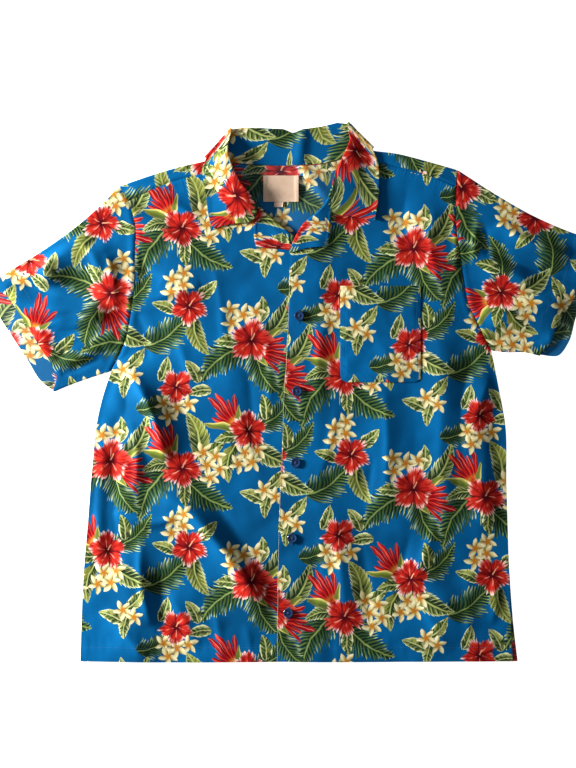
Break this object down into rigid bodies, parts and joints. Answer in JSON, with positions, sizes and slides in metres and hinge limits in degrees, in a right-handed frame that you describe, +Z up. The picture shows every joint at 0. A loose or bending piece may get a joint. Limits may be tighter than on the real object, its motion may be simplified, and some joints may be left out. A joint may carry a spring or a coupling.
{
  "type": "hawaiian shirt laid flat",
  "caption": "Short-sleeved blue floral shirt with an open camp collar, laid flat on its back with the fronts buttoned",
  "frame": {"origin": "under the middle of the laid-out shirt, on the surface that it lies on", "axes": "+Z up out of the front of the shirt, +Y from the hem to the collar, +X towards the wearer's left sleeve"},
  "size_m": [0.866, 0.7665, 0.0119],
  "materials": {
    "printed_cloth": "smooth light woven cloth with a soft sheen and a floral print on blue",
    "buttons": "polished navy",
    "label_tape": "plain woven tape",
    "thread": "sewing thread"
  },
  "bodies": {
    "root": {"back_panel": "printed_cloth", "front_right": "printed_cloth", "front_left": "printed_cloth", "sleeve_right": "printed_cloth", "sleeve_left": "printed_cloth", "collar": "printed_cloth", "lapel_right": "printed_cloth", "lapel_left": "printed_cloth", "pocket": "printed_cloth", "button_1": "buttons", "button_2": "buttons", "button_3": "buttons", "button_4": "buttons", "button_5": "buttons", "neck_label": "label_tape", "size_tab": "label_tape"}
  },
  "joints": []
}
